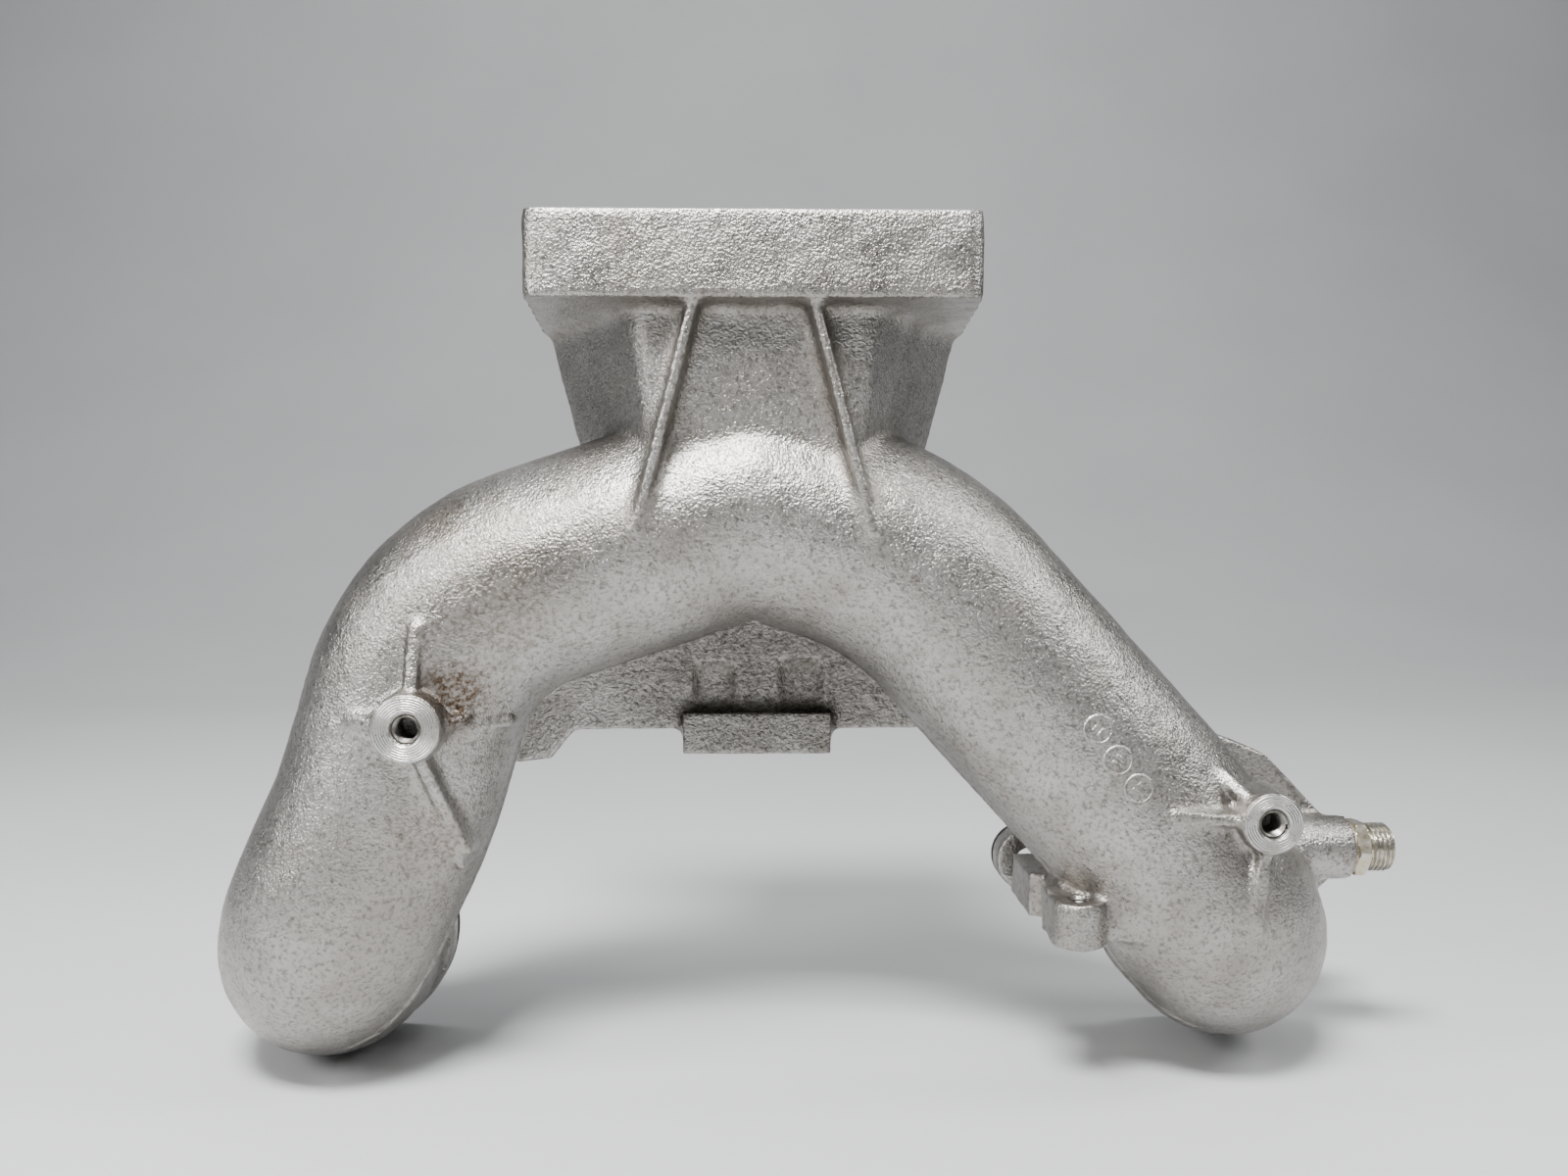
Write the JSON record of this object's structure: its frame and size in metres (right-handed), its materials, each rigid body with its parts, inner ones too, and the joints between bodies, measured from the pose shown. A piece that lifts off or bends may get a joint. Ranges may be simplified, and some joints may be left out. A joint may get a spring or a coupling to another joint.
{
  "type": "intake manifold branch",
  "caption": "Y-shaped cast intake branch with a rectangular top inlet flange, two downturned arms ending in rear outlet flanges, front bosses and a side union.",
  "frame": {"origin": "centre of the inlet flange's bolt pattern on its machined top face", "axes": "+Z out of the inlet flange, +Y to the rear, the way the two outlets face, +X to the right seen from the front"},
  "size_m": [0.3931, 0.0942, 0.272],
  "materials": {
    "cast_aluminium": "matte",
    "zinc_steel": "satin",
    "seal_copper": "satin",
    "insert_steel": "satin",
    "gasket": "matte"
  },
  "bodies": {
    "root": {"manifold_casting": "cast_aluminium", "pipe_union": "zinc_steel", "union_sealing_ring": "seal_copper", "left_boss_insert": "insert_steel", "right_boss_insert": "insert_steel", "bracket_insert": "insert_steel", "inlet_flange_inserts": "insert_steel", "left_outlet_gasket": "gasket", "right_outlet_gasket": "gasket"}
  },
  "joints": []
}
